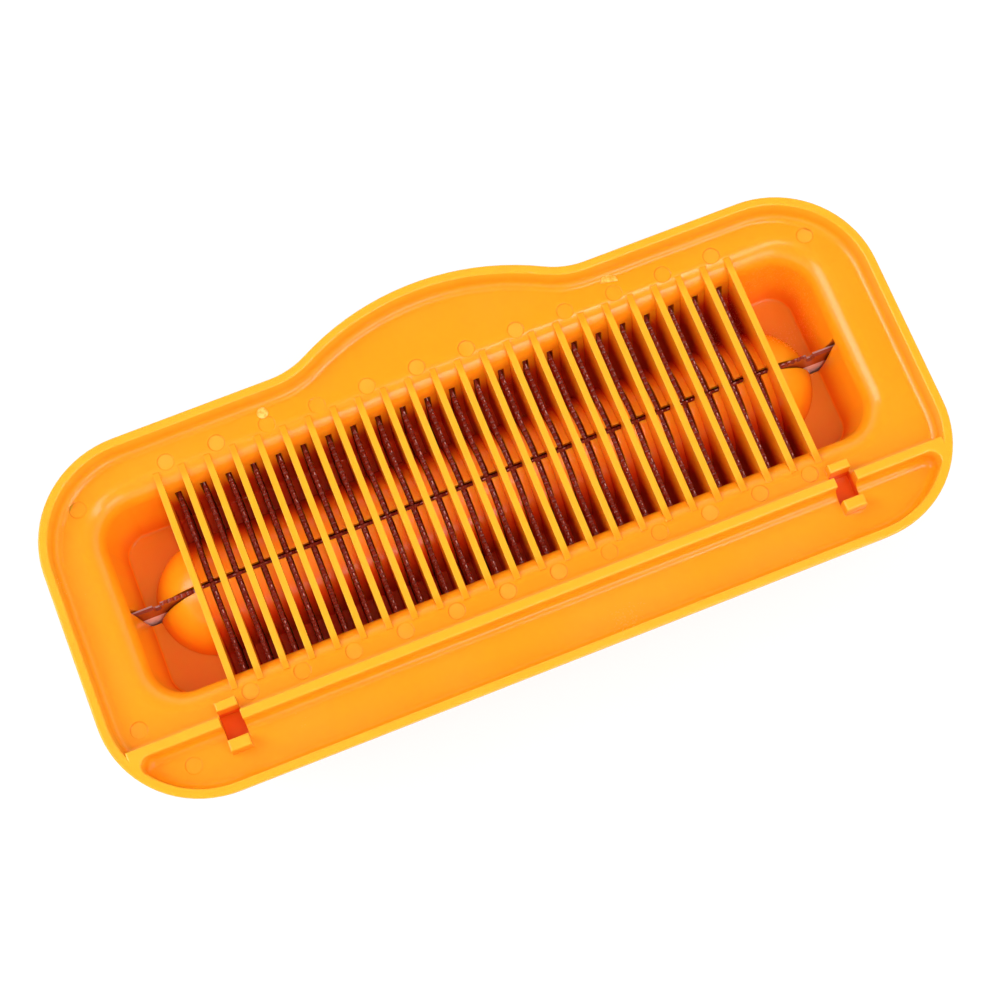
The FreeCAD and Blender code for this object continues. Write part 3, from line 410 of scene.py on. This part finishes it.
def mark_distance(tree, parts):
    """Distance from a point of the flange to the nearest ejector pin mark."""
    along = row_offset(tree, parts["X"], MARK_PITCH)
    across = math_node(tree, "SUBTRACT", math_node(tree, "ABSOLUTE", parts["Y"]), MARK_ROW)
    beside = math_node(tree, "ABSOLUTE", parts["X"])
    beyond = ramp_value(tree, beside, OUTER_BLADE + 2.0 * MM, OUTER_BLADE + 4.0 * MM, 0.0, MARK_PITCH)
    nearest = math_node(tree, "ADD", length_of(tree, along, across), beyond)
    for x, y in CORNER_MARKS:
        to_x = math_node(tree, "SUBTRACT", parts["X"], x)
        to_y = math_node(tree, "SUBTRACT", parts["Y"], y)
        nearest = math_node(tree, "MINIMUM", nearest, length_of(tree, to_x, to_y))
    return nearest


def tray_depths(tree, colours, parts, level):
    """Tray orange with painted shade (deeper orange low in the trough, red low in the cells) and a
    painted sheen that dulls its floor.
    """
    _, facing = object_point(tree, "Normal")
    # These painted shade and sheen tints lie on the upper side only: the side that touches food stays
    # plain.
    upper = ramp_value(tree, facing["Z"], -0.12, -0.04)
    deep_shade = all_of(tree, upper, ramp_value(tree, level, *DEEP_HEIGHTS))
    colour = mix_colour(tree, deep_shade, opaque(colours.tray), opaque(colours.tray_deep_shade))
    # Painted sheen: the duller orange of the trough's floor
    floor = all_of(tree, upper, within(tree, level, *FLOOR_HEIGHTS, soft=0.2 * MM))
    colour = mix_colour(tree, floor, colour, opaque(colours.tray_floor_sheen))
    # Painted shade: red low in the cells between the ribs, without the walls of the slots
    beside = math_node(tree, "ABSOLUTE", parts["X"])
    aside = math_node(tree, "ABSOLUTE", parts["Y"])
    from_slot = math_node(tree, "ABSOLUTE", row_offset(tree, parts["X"], BLADE_PITCH))
    cell_shade = all_of(tree, upper,
                   ramp_value(tree, from_slot, *CROSS_SLOT_EDGE),
                   ramp_value(tree, aside, *LONG_SLOT_EDGE),
                   within(tree, beside, 0.0, CELL_HALF_LENGTH, soft=0.4 * MM),
                   within(tree, aside, 0.0, CELL_HALF_WIDTH, soft=1.0 * MM),
                   ramp_value(tree, level, *CELL_HEIGHTS))
    return mix_colour(tree, cell_shade, colour, opaque(colours.tray_cell_shade))


def tray_edges(tree, colours, colour, parts, level):
    """A colour with painted shade in the hinge hollows and painted light on the tops of the rims and
    ribs added to it.
    """
    beside = math_node(tree, "ABSOLUTE", parts["X"])
    aside = math_node(tree, "ABSOLUTE", parts["Y"])
    from_hinge = math_node(tree, "ABSOLUTE", math_node(tree, "SUBTRACT", beside, HINGE_HALF_SPACING))
    behind_hinge = math_node(tree, "ABSOLUTE", math_node(tree, "ADD", parts["Y"], HINGE_BACK))
    # Painted shade inside the two hinge hollows
    hollow_shade = all_of(tree, within(tree, from_hinge, 0.0, HOLLOW_HALF_WIDTH, soft=0.1 * MM),
                    within(tree, behind_hinge, 0.0, HOLLOW_HALF_LENGTH, soft=0.1 * MM),
                    within(tree, level, *HOLLOW_HEIGHTS, soft=2.0 * MM))
    colour = mix_colour(tree, hollow_shade, colour, opaque(colours.tray_hollow_shade))
    # Painted light on the tops of the ribs and rims
    ribs = all_of(tree, within(tree, beside, 0.0, RIB_HALF_LENGTH, soft=0.2 * MM),
                  within(tree, aside, 0.0, RIB_HALF_WIDTH, soft=3.0 * MM),
                  ramp_value(tree, level, *RIB_HEIGHTS))
    lit_tops = math_node(tree, "MAXIMUM", ramp_value(tree, level, *RIM_HEIGHTS), ribs)
    return mix_colour(tree, lit_tops, colour, opaque(colours.tray_rim_light))


def tray_marks(tree, colours, colour, place, parts, level, radius):
    """A colour with ejector pin marks: pale discs, more or less clear, in broken dark outlines of
    painted shade.
    """
    spot = mark_distance(tree, parts)
    on_flange = within(tree, level, *MARK_HEIGHTS, soft=0.1 * MM)
    clear = ramp_value(tree, noise(tree, place, 45.0, detail=1.0), 0.40, 0.60, 0.12, 0.60)
    disc = all_of(tree, ramp_value(tree, spot, radius, radius * 0.8), on_flange, clear)
    colour = mix_colour(tree, disc, colour, opaque(colours.mark))
    # Painted shade: broken dark outlines at the sunk rims of the marks
    broken = ramp_value(tree, noise(tree, place, 130.0, detail=1.0), 0.42, 0.62, 0.0, 0.4)
    outline = within(tree, spot, radius * 0.97, radius * 1.03, soft=0.12 * MM)
    ring = all_of(tree, outline, on_flange, broken)
    return mix_colour(tree, ring, colour, opaque(colours.tray_deep_shade))


def make_tray_orange(colours, sizes):
    """Glossy orange plastic that lets some light in, with the tray's marks, painted shade low in the
    trough, cells and hinge hollows, a painted sheen on its floor and painted light on its rims and
    ribs.
    """
    material, tree, shader = new_material("tray_orange")
    place, parts = object_point(tree)
    level = math_node(tree, "SUBTRACT", parts["Z"], FLANGE_LEVEL)
    colour = tray_depths(tree, colours, parts, level)
    colour = tray_edges(tree, colours, colour, parts, level)
    colour = tray_marks(tree, colours, colour, place, parts, level, sizes.mark_radius)
    finish_plastic(tree, shader, colour, mottle=0.10, roughness=0.22, bump=0.04,
                   soft_edge=sizes.soft_edge)
    shader.inputs["Specular IOR Level"].default_value = 0.5
    shader.inputs["Subsurface Weight"].default_value = 0.5
    shader.inputs["Subsurface Radius"].default_value = (1.0, 0.3, 0.1)
    shader.inputs["Subsurface Scale"].default_value = 1.0 * MM
    return material


def make_lid_orange(colours, sizes):
    """Glossy orange plastic of the lid, a little scuffed on the face it lies on."""
    material, tree, shader = new_material("lid_orange")
    place, parts = object_point(tree)
    scuff = all_of(tree, ramp_value(tree, parts["Z"], 0.2 * MM, 0.0),
                   ramp_value(tree, noise(tree, place, 160.0, detail=5.0, roughness=0.7), 0.5, 0.68))
    worn = tuple(min(1.0, part * 0.85 + 0.12) for part in colours.lid)
    colour = mix_colour(tree, scuff, opaque(colours.lid), opaque(worn))
    finish_plastic(tree, shader, colour, mottle=0.10, roughness=0.29, bump=0.12,
                   soft_edge=sizes.soft_edge)
    return material


def blade_base(tree, colours, place, side):
    """Red-brown plastic with painted light brightening the blades' sides, and paler flow streaks and
    specks.
    """
    flow = noise(tree, stretched(tree, place, (90.0, 90.0, 900.0)), 1.0, detail=4.0, roughness=0.6)
    streak = ramp_value(tree, flow, 0.48, 0.72)
    speck = ramp_value(tree, noise(tree, place, 1100.0, detail=3.0, roughness=0.6), 0.5, 0.7)
    worn = math_node(tree, "MULTIPLY", math_node(tree, "ADD", streak, speck), 0.4)
    colour = mix_colour(tree, side, opaque(colours.blade), opaque(colours.blade_side_light))
    return mix_colour(tree, worn, colour, opaque(colours.blade_worn))


def blade_glint(tree, place, level, from_middle):
    """Masks of the cutting edge's middle line: the whole line, and the dashes of painted highlight
    along it.
    """
    line = all_of(tree, within(tree, from_middle, *GLINT_SPAN, soft=0.06 * MM),
                  ramp_value(tree, level, *EDGE_HEIGHTS))
    dashes = ramp_value(tree, noise(tree, place, 750.0, detail=2.0), 0.50, 0.60)
    glint_strength = ramp_value(tree, noise(tree, place, 60.0, detail=2.0), 0.38, 0.62, 0.25, 1.0)
    return line, all_of(tree, line, dashes, glint_strength)


def blade_ends(tree, colours, colour, parts, facing, level, side):
    """A colour with the long blade's two ends: plain sides painted lighter where light falls, a painted
    glint on the flat top, a pale foot.
    """
    beside = math_node(tree, "ABSOLUTE", parts["X"])
    # Painted light on the sides of the long blade's ends
    plain = all_of(tree, side, ramp_value(tree, beside, *PLAIN_END))
    colour = mix_colour(tree, plain, colour, opaque(colours.blade_end_lit))
    end = ramp_value(tree, beside, *FLAT_END)
    # Painted highlight: a glint line on the flat top of each end
    shine = all_of(tree, end, ramp_value(tree, facing["Z"], 0.3, 0.6, 0.0, 0.35),
                   within(tree, parts["Y"], *FLAT_GLINT, soft=0.06 * MM))
    colour = mix_colour(tree, shine, colour, opaque(colours.blade_edge_glint))
    foot = all_of(tree, end, ramp_value(tree, level, *FOOT_HEIGHTS))
    return mix_colour(tree, foot, colour, opaque(colours.blade_foot))


def make_blade_brown(colours, name, lengthwise):
    """Glossy red-brown plastic with painted glints along the cutting edge and painted light on the
    blades' sides.
    """
    material, tree, shader = new_material(name)
    place, parts = object_point(tree)
    _, facing = object_point(tree, "Normal")
    level = math_node(tree, "SUBTRACT", parts["Z"], FLANGE_LEVEL)
    # Mask of the blades' sideways faces, where painted light brightens the brown
    side = ramp_value(tree, math_node(tree, "ABSOLUTE", facing["Z"]), 0.6, 0.3)
    colour = blade_base(tree, colours, place, side)
    if lengthwise:
        _, glint = blade_glint(tree, place, level, parts["Y"])
        colour = mix_colour(tree, glint, colour, opaque(colours.blade_edge_glint))
        colour = blade_ends(tree, colours, colour, parts, facing, level, side)
    else:
        line, glint = blade_glint(tree, place, level, row_offset(tree, parts["X"], BLADE_PITCH))
        # Painted highlight: a longer glint streak near each cross blade's near end
        streak = all_of(tree, line, within(tree, parts["Y"], *NEAR_END, soft=0.4 * MM))
        glint = math_node(tree, "MAXIMUM", glint, math_node(tree, "MULTIPLY", streak, 0.85))
        colour = mix_colour(tree, glint, colour, opaque(colours.blade_edge_glint))
    finish_plastic(tree, shader, colour, mottle=0.25, roughness=0.22, bump=0.15,
                   soft_edge=0.08 * MM, grain_scale=3000.0)
    shader.inputs["Specular IOR Level"].default_value = 0.6
    return material


def make_pin_steel(colours):
    """Drawn steel with fine lines along the pin."""
    material, tree, shader = new_material("pin_steel")
    place, _ = object_point(tree)
    line = noise(tree, stretched(tree, place, (120.0, 5200.0, 5200.0)), 1.0, detail=3.0, roughness=0.6)
    dull = tuple(part * 0.72 for part in colours.steel)
    colour = mix_colour(tree, ramp_value(tree, line, 0.35, 0.7), opaque(dull), opaque(colours.steel))
    tree.links.new(colour, shader.inputs["Base Color"])
    tree.links.new(ramp_value(tree, line, 0.3, 0.75, 0.24, 0.42), shader.inputs["Roughness"])
    shader.inputs["Metallic"].default_value = 1.0
    relief = tree.nodes.new("ShaderNodeBump")
    relief.inputs["Strength"].default_value = 0.15
    relief.inputs["Distance"].default_value = 0.01 * MM
    tree.links.new(line, relief.inputs["Height"])
    tree.links.new(relief.outputs[0], shader.inputs["Normal"])
    return material


def make_gate_orange(colours):
    """Paler, slightly rough plastic where the moulding was broken from its runner."""
    material, tree, shader = new_material("gate_orange")
    place, _ = object_point(tree)
    torn = ramp_value(tree, noise(tree, place, 900.0, detail=4.0, roughness=0.6), 0.4, 0.65)
    colour = mix_colour(tree, torn, opaque(colours.tray), opaque(colours.gate))
    finish_plastic(tree, shader, colour, mottle=0.2, roughness=0.4, bump=0.4,
                   soft_edge=0.1 * MM, grain_scale=4000.0)
    return material


def dress(nodes, material):
    """Give carried-over nodes a material."""
    for name in nodes:
        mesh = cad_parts[name].data
        mesh.materials.clear()
        mesh.materials.append(material)


def settings():
    """The three groups of settings."""
    scene = bpy.context.scene
    return scene.slicer_colours, scene.slicer_sizes, scene.slicer_studio


def gate_mesh(name, place, radius, height, start, end):
    """A low round boss on the flange, whole or broken along a straight line."""
    whole = (start, end) == ROUND_ARC
    steps = GATE_STEPS
    rings = ((1.0, -GATE_SUNK), (1.0, height * 0.55), (0.95, height * 0.85), (0.82, height),
             (0.4, height * 1.04))
    form = bmesh.new()
    rows = []
    for share, level in rings:
        row = []
        for step in range(steps if whole else steps + 1):
            angle = math.radians(start + (end - start) * step / steps)
            spot = (place[0] + radius * share * math.cos(angle),
                    place[1] + radius * share * math.sin(angle), FLANGE_LEVEL + level)
            row.append(form.verts.new(spot))
        rows.append(row)
    for lower, upper in zip(rows, rows[1:]):
        for step in range(len(lower) if whole else len(lower) - 1):
            following = (step + 1) % len(lower)
            form.faces.new((lower[step], lower[following], upper[following], upper[step]))
    form.faces.new(rows[-1])
    form.faces.new(list(reversed(rows[0])))
    if not whole:
        form.faces.new([row[0] for row in rows] + [row[-1] for row in reversed(rows)])
    bmesh.ops.recalc_face_normals(form, faces=form.faces)
    mesh = bpy.data.meshes.new(name)
    form.to_mesh(mesh)
    form.free()
    mesh.shade_smooth()
    mesh.set_sharp_from_angle(angle=math.radians(50.0))
    return mesh


class SLICER_OT_tray(bpy.types.Operator):
    """Mould the tray and its two gate marks"""

    bl_idname = "slicer.tray"
    bl_label = "Tray"

    def execute(self, context):
        colours, sizes, _ = settings()
        dress(["base_tray"], make_tray_orange(colours, sizes))
        pale = make_gate_orange(colours)
        left = (-sizes.gate_half_spacing, sizes.gate_reach)
        right = (sizes.gate_half_spacing, sizes.gate_reach)
        round_mark = gate_mesh("gate_mark_left", left, sizes.gate_small_radius,
                               sizes.gate_height * 0.6, *ROUND_ARC)
        broken_mark = gate_mesh("gate_mark_right", right, sizes.gate_radius,
                                sizes.gate_height, *BROKEN_ARC)
        link_piece("gate_mark_left", round_mark, "tray", pale)
        link_piece("gate_mark_right", broken_mark, "tray", pale)
        return {"FINISHED"}


class SLICER_OT_lid(bpy.types.Operator):
    """Mould the lid"""

    bl_idname = "slicer.lid"
    bl_label = "Lid"

    def execute(self, context):
        colours, sizes, _ = settings()
        dress(["lid_shell"], make_lid_orange(colours, sizes))
        return {"FINISHED"}


class SLICER_OT_blades(bpy.types.Operator):
    """Finish the blades and the carrier that they stand in"""

    bl_idname = "slicer.blades"
    bl_label = "Blades"

    def execute(self, context):
        colours, _, _ = settings()
        blades = [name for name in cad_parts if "blade" in name and name != "long_blade"]
        dress(blades, make_blade_brown(colours, "blade_brown", False))
        dress(["long_blade"], make_blade_brown(colours, "long_blade_brown", True))
        return {"FINISHED"}


class SLICER_OT_pins(bpy.types.Operator):
    """Finish the two hinge pins"""

    bl_idname = "slicer.pins"
    bl_label = "Hinge pins"

    def execute(self, context):
        colours, _, _ = settings()
        dress(["hinge_pin_left", "hinge_pin_right"], make_pin_steel(colours))
        return {"FINISHED"}


def add_floor():
    """A plain pale floor that looks white to the camera and keeps the slicer's shadow."""
    mesh = bpy.data.meshes.new("floor")
    half = FLOOR_HALF
    corners = [(-half, -half, 0), (half, -half, 0), (half, half, 0), (-half, half, 0)]
    mesh.from_pydata(corners, [], [(0, 1, 2, 3)])
    floor = bpy.data.objects.new("floor", mesh)
    floor.location.z = CAD_BOX[0][2] - FLOOR_DROP
    bpy.context.scene.collection.objects.link(floor)
    material, tree, shader = new_material("studio_floor")
    shader.inputs["Base Color"].default_value = opaque([FLOOR_GREY] * 3)
    shader.inputs["Roughness"].default_value = 0.7
    shader.inputs["Specular IOR Level"].default_value = 0.2
    pale = tree.nodes.new("ShaderNodeBsdfDiffuse")
    pale.inputs["Color"].default_value = opaque([SEEN_FLOOR_GREY] * 3)
    glow = tree.nodes.new("ShaderNodeEmission")
    glow.inputs["Strength"].default_value = SEEN_FLOOR_GLOW
    bright = tree.nodes.new("ShaderNodeAddShader")
    tree.links.new(pale.outputs[0], bright.inputs[0])
    tree.links.new(glow.outputs[0], bright.inputs[1])
    choose = tree.nodes.new("ShaderNodeMixShader")
    tree.links.new(seen_ray(tree), choose.inputs[0])
    tree.links.new(shader.outputs[0], choose.inputs[1])
    tree.links.new(bright.outputs[0], choose.inputs[2])
    output = next(node for node in tree.nodes if node.type == "OUTPUT_MATERIAL")
    tree.links.new(choose.outputs[0], output.inputs["Surface"])
    floor.data.materials.append(material)


def seen_ray(tree):
    """One for rays from the camera and for rays seen in a reflection or through glass."""
    path = tree.nodes.new("ShaderNodeLightPath")
    seen = math_node(tree, "MAXIMUM", path.outputs["Is Camera Ray"], path.outputs["Is Glossy Ray"])
    return math_node(tree, "MAXIMUM", seen, path.outputs["Is Transmission Ray"])


def light_sky(strength, ceiling):
    """Even light from all round: white to the camera, and with a dim ceiling in reflections."""
    world = bpy.data.worlds.new("studio")
    world.use_nodes = True
    tree = world.node_tree
    plain = next(node for node in tree.nodes if node.type == "BACKGROUND")
    plain.inputs["Color"].default_value = (1.0, 1.0, 1.0, 1.0)
    parts = tree.nodes.new("ShaderNodeSeparateXYZ")
    tree.links.new(tree.nodes.new("ShaderNodeTexCoord").outputs["Generated"], parts.inputs[0])
    shown = ramp_value(tree, parts.outputs["Z"], 0.35, 0.75, 1.0, ceiling)
    path = tree.nodes.new("ShaderNodeLightPath")
    mirrored = math_node(tree, "MAXIMUM", path.outputs["Is Glossy Ray"],
                         path.outputs["Is Transmission Ray"])
    level = ramp_value(tree, mirrored, 0.0, 1.0, strength, shown)
    level = ramp_value(tree, path.outputs["Is Camera Ray"], 0.0, 1.0, level, 1.0)
    tree.links.new(level, plain.inputs["Strength"])
    bpy.context.scene.world = world


def add_lamp(name, place, target, size, power):
    """A rectangular lamp facing a point."""
    lamp = bpy.data.lights.new(name, "AREA")
    lamp.shape = "RECTANGLE"
    lamp.size, lamp.size_y = size
    lamp.energy = power
    holder = bpy.data.objects.new(name, lamp)
    holder.location = place
    holder.rotation_euler = (Vector(target) - Vector(place)).to_track_quat("-Z", "Y").to_euler()
    bpy.context.scene.collection.objects.link(holder)
    return holder


def add_camera():
    """The camera of the picture: nearly above the tray, turned so that it lies slantwise."""
    camera = bpy.data.cameras.new("camera")
    camera.sensor_width = SENSOR_WIDTH
    camera.lens = FOCAL_PIXELS / IMAGE_PIXELS * SENSOR_WIDTH
    camera.clip_start = 0.01
    holder = bpy.data.objects.new("camera", camera)
    forward = Vector(CAMERA_FORWARD).normalized()
    right = Vector(CAMERA_RIGHT)
    right = (right - forward * right.dot(forward)).normalized()
    up = right.cross(forward)
    turn = Matrix((right, up, -forward)).transposed()
    holder.matrix_world = Matrix.Translation(CAMERA_PLACE) @ turn.to_4x4()
    bpy.context.scene.collection.objects.link(holder)
    bpy.context.scene.camera = holder


class SLICER_OT_stage(bpy.types.Operator):
    """Lay out the floor, the lamps and the camera"""

    bl_idname = "slicer.stage"
    bl_label = "Studio"

    def execute(self, context):
        _, _, studio = settings()
        add_floor()
        light_sky(studio.sky_strength, studio.ceiling)
        middle = (0.0, 0.0, FLANGE_LEVEL)
        add_lamp("key_lamp", KEY_PLACE, middle, KEY_SIZE, studio.key_power)
        add_lamp("strip_lamp", STRIP_PLACE, middle, STRIP_SIZE, studio.strip_power)
        fill = add_lamp("fill_lamp", FILL_PLACE, middle, FILL_SIZE, studio.fill_power)
        fill.visible_glossy = False
        add_lamp("front_lamp", FRONT_PLACE, middle, FRONT_SIZE, studio.front_power)
        add_camera()
        context.scene.cycles.diffuse_bounces = DIFFUSE_BOUNCES
        context.scene.view_settings.view_transform = "Standard"
        return {"FINISHED"}


class SLICER_PT_panel(bpy.types.Panel):
    """Settings of the slicer and the steps that dress it"""

    bl_label = "Sausage slicer"
    bl_idname = "SLICER_PT_panel"
    bl_space_type = "VIEW_3D"
    bl_region_type = "UI"
    bl_category = "Slicer"

    def draw(self, context):
        for group in settings():
            for name in group.__annotations__:
                self.layout.prop(group, name)
        for step in STEPS:
            self.layout.operator(step.bl_idname)


GROUPS = (("slicer_colours", SlicerColours), ("slicer_sizes", SlicerSizes),
          ("slicer_studio", SlicerStudio))
STEPS = (SLICER_OT_tray, SLICER_OT_lid, SLICER_OT_blades, SLICER_OT_pins, SLICER_OT_stage)


def register():
    for _, group in GROUPS:
        bpy.utils.register_class(group)
    for kind in STEPS + (SLICER_PT_panel,):
        bpy.utils.register_class(kind)
    for name, group in GROUPS:
        setattr(bpy.types.Scene, name, PointerProperty(type=group))


def unregister():
    for name, _ in GROUPS:
        delattr(bpy.types.Scene, name)
    for kind in (SLICER_PT_panel,) + STEPS:
        bpy.utils.unregister_class(kind)
    for _, group in reversed(GROUPS):
        bpy.utils.unregister_class(group)


def main():
    register()
    build_moulded_group()
    bpy.ops.slicer.tray()
    bpy.ops.slicer.lid()
    bpy.ops.slicer.blades()
    bpy.ops.slicer.pins()
    bpy.ops.slicer.stage()


if __name__ == "__main__":
    main()
